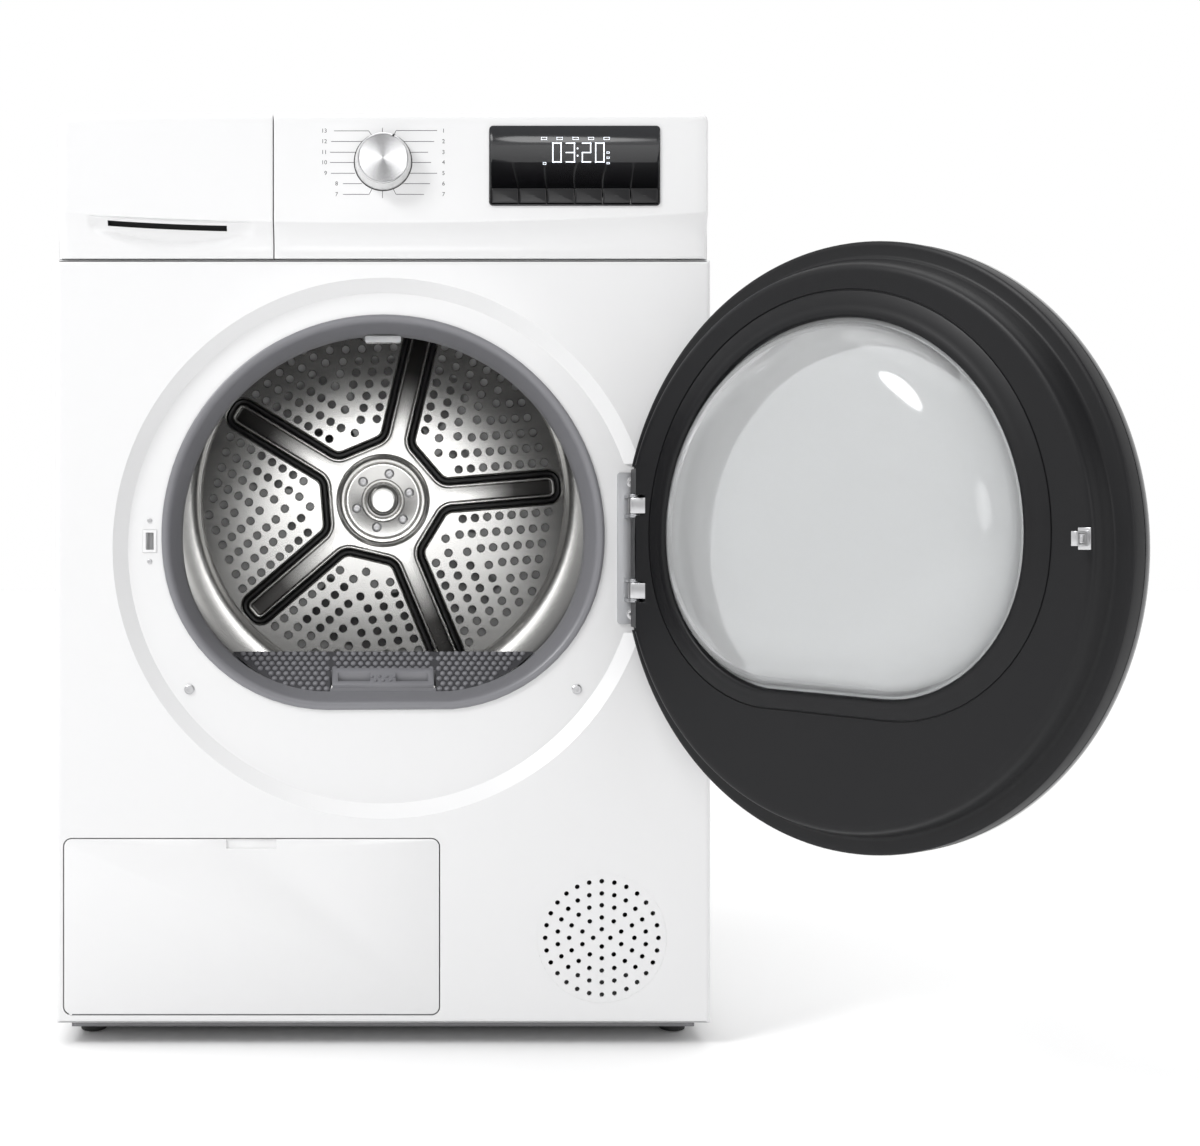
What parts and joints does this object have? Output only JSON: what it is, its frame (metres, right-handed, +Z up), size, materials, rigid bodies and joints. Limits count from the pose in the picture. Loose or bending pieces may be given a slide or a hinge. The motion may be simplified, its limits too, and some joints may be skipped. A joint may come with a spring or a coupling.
{
  "type": "clothes dryer",
  "caption": "Front-loading heat-pump clothes dryer with a round glass door swung open, perforated steel drum, water drawer, service flap, selector knob and key display.",
  "frame": {"origin": "centre of the four levelling feet, on the floor", "axes": "+Z up, +Y towards the rear, +X to the right as seen from the front; the front face is at y = -0.300"},
  "size_m": [0.812, 0.9812, 0.846],
  "materials": {
    "white_enamel": "smooth gloss enamel on steel sheet",
    "white_plastic": "moulded plastic, satin gloss",
    "galvanised": "zinc-coated sheet",
    "aluminium_fins": "rolled fins in a folded housing",
    "bulkhead_plastic": "moulded polypropylene",
    "base_grey": "grey moulded polypropylene",
    "bezel_grey": "fine satin texture",
    "stainless": "polished stainless sheet",
    "zinc_screw": "bright zinc plate",
    "door_black": "satin black plastic",
    "door_gloss": "gloss black plastic",
    "clear_glass": "clear",
    "display_black": "gloss black",
    "knob_metal": "spun face with polished bevel",
    "lamp_lens": "frosted",
    "tank_translucent": "natural polyethylene",
    "lifter_grey": "satin",
    "duct_grey": "light grey moulding",
    "duct_black": "moulded",
    "motor_steel": "dark enamel",
    "compressor_black": "black enamel",
    "rubber_black": "matt",
    "roller_nylon": "nylon",
    "board_green": "circuit board",
    "gland_black": "moulded"
  },
  "bodies": {
    "cabinet": {"base_tray": "base_grey", "case_screws": "zinc_screw", "compressor": "compressor_black", "condensate_pump": "duct_black", "control_board": "board_green", "control_fascia": "white_plastic", "display_window": "display_black", "drive_belt": "rubber_black", "drum_lamp_lens": "lamp_lens", "fan_housing": "duct_black", "front_bulkhead": "bulkhead_plastic", "front_panel": "white_enamel", "heat_exchanger": "aluminium_fins", "hinge_bracket": "galvanised", "hinge_pins": "zinc_screw", "intake_grille": "white_enamel", "latch_housing": "white_plastic", "lint_duct_cover": "bezel_grey", "mains_gland": "gland_black", "motor_body": "motor_steel", "opening_bezel": "bezel_grey", "rear_bearing": "galvanised", "rear_duct": "duct_grey", "rear_panel": "galvanised", "side_panel_left": "white_enamel", "side_panel_right": "white_enamel", "tank_sleeve": "bulkhead_plastic", "worktop": "white_plastic"},
    "door": {"door_frame": "door_black", "door_cover": "door_gloss", "door_glass_bowl": "clear_glass", "door_window": "clear_glass", "door_strike": "zinc_screw", "hinge_arms": "zinc_screw"},
    "tank_drawer": {"tank_drawer_front": "white_plastic", "water_tank": "tank_translucent"},
    "flap": {"service_flap": "white_plastic"},
    "filter": {"lint_filter": "bezel_grey"},
    "drum": {"drum_shell": "stainless", "drum_disc": "stainless", "drum_star": "stainless", "drum_shaft": "zinc_screw", "drum_lifters": "lifter_grey", "hub_screws": "zinc_screw"},
    "knob": {"selector_knob": "knob_metal"},
    "key1": {"key_1": "display_black"},
    "key2": {"key_2": "display_black"},
    "key3": {"key_3": "display_black"},
    "key4": {"key_4": "display_black"},
    "key5": {"key_5": "display_black"},
    "key6": {"key_6": "display_black"},
    "motor": {"motor_rotor": "motor_steel", "fan_wheel": "duct_black"},
    "idler": {"idler_pulley": "roller_nylon"},
    "roller_l": {"roller_left": "roller_nylon"},
    "roller_r": {"roller_right": "roller_nylon"},
    "foot_fl": {"foot_front_left": "rubber_black"},
    "foot_fr": {"foot_front_right": "rubber_black"},
    "foot_rl": {"foot_rear_left": "rubber_black"},
    "foot_rr": {"foot_rear_right": "rubber_black"}
  },
  "joints": [
    {"name": "door_hinge", "type": "hinge", "parent": "cabinet", "child": "door", "pos_m": [0.226, -0.315, 0.4515], "axis": [0, 0, 1], "range_deg": [-126.5, 20]},
    {"name": "tank_slide", "type": "slide", "parent": "cabinet", "child": "tank_drawer", "axis": [0, -1, 0], "range_m": [0, 0.36]},
    {"name": "flap_hinge", "type": "hinge", "parent": "cabinet", "child": "flap", "pos_m": [-0.11925, -0.2935, 0.042], "axis": [1, 0, 0], "range_deg": [0, 90]},
    {"name": "filter_slide", "type": "slide", "parent": "cabinet", "child": "filter", "axis": [0, 0, 1], "range_m": [0, 0.14]},
    {"name": "drum_spin", "type": "hinge", "parent": "cabinet", "child": "drum", "pos_m": [0, 0, 0.509], "axis": [0, 1, 0], "continuous": true},
    {"name": "knob_turn", "type": "hinge", "parent": "cabinet", "child": "knob", "pos_m": [0, -0.31, 0.8], "axis": [0, 1, 0], "continuous": true},
    {"name": "key_1_press", "type": "slide", "parent": "cabinet", "child": "key1", "axis": [0, 1, 0], "range_m": [0, 0.0012], "stiffness_N_per_m": 400},
    {"name": "key_2_press", "type": "slide", "parent": "cabinet", "child": "key2", "axis": [0, 1, 0], "range_m": [0, 0.0012], "stiffness_N_per_m": 400},
    {"name": "key_3_press", "type": "slide", "parent": "cabinet", "child": "key3", "axis": [0, 1, 0], "range_m": [0, 0.0012], "stiffness_N_per_m": 400},
    {"name": "key_4_press", "type": "slide", "parent": "cabinet", "child": "key4", "axis": [0, 1, 0], "range_m": [0, 0.0012], "stiffness_N_per_m": 400},
    {"name": "key_5_press", "type": "slide", "parent": "cabinet", "child": "key5", "axis": [0, 1, 0], "range_m": [0, 0.0012], "stiffness_N_per_m": 400},
    {"name": "key_6_press", "type": "slide", "parent": "cabinet", "child": "key6", "axis": [0, 1, 0], "range_m": [0, 0.0012], "stiffness_N_per_m": 400},
    {"name": "motor_spin", "type": "hinge", "parent": "cabinet", "child": "motor", "pos_m": [0.205, 0.14, 0.13], "axis": [0, 1, 0], "continuous": true},
    {"name": "idler_spin", "type": "hinge", "parent": "cabinet", "child": "idler", "pos_m": [0.12957, 0.063, 0.13008], "axis": [0, 1, 0], "continuous": true},
    {"name": "roller_left_spin", "type": "hinge", "parent": "cabinet", "child": "roller_l", "pos_m": [-0.17511, -0.225, 0.25891], "axis": [0, 1, 0], "continuous": true},
    {"name": "roller_right_spin", "type": "hinge", "parent": "cabinet", "child": "roller_r", "pos_m": [0.17511, -0.225, 0.25891], "axis": [0, 1, 0], "continuous": true},
    {"name": "foot_front_left_turn", "type": "hinge", "parent": "cabinet", "child": "foot_fl", "pos_m": [-0.272, -0.244, 0.003], "axis": [0, 0, 1], "continuous": true},
    {"name": "foot_front_right_turn", "type": "hinge", "parent": "cabinet", "child": "foot_fr", "pos_m": [0.272, -0.244, 0.003], "axis": [0, 0, 1], "continuous": true},
    {"name": "foot_rear_left_turn", "type": "hinge", "parent": "cabinet", "child": "foot_rl", "pos_m": [-0.272, 0.244, 0.003], "axis": [0, 0, 1], "continuous": true},
    {"name": "foot_rear_right_turn", "type": "hinge", "parent": "cabinet", "child": "foot_rr", "pos_m": [0.272, 0.244, 0.003], "axis": [0, 0, 1], "continuous": true}
  ],
  "couplings": [
    {"joint": "motor_spin", "follows": "drum_spin", "ratio": 28.5},
    {"joint": "idler_spin", "follows": "drum_spin", "ratio": -19},
    {"joint": "roller_left_spin", "follows": "drum_spin", "ratio": -14.25},
    {"joint": "roller_right_spin", "follows": "drum_spin", "ratio": -14.25}
  ]
}
